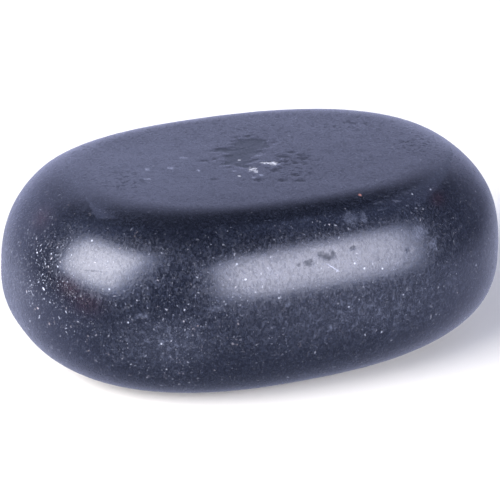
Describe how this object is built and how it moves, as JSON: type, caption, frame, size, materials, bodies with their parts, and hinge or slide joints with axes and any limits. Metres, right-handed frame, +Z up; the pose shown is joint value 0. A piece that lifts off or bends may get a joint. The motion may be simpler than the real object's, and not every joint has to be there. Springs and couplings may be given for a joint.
{
  "type": "river pebble",
  "caption": "Oval polished basalt pebble with full rounded flanks, a level worn top and a flat patch underneath on which it rests.",
  "frame": {"origin": "on the resting plane, under the middle of the stone's outline", "axes": "+X along the stone's length, +Y across it, +Z up towards the worn top face"},
  "size_m": [0.0802, 0.0562, 0.0309],
  "materials": {
    "basalt": "satin polished, blue-black, with fine pale crystal flecks"
  },
  "bodies": {
    "root": {"pebble": "basalt"}
  },
  "joints": []
}
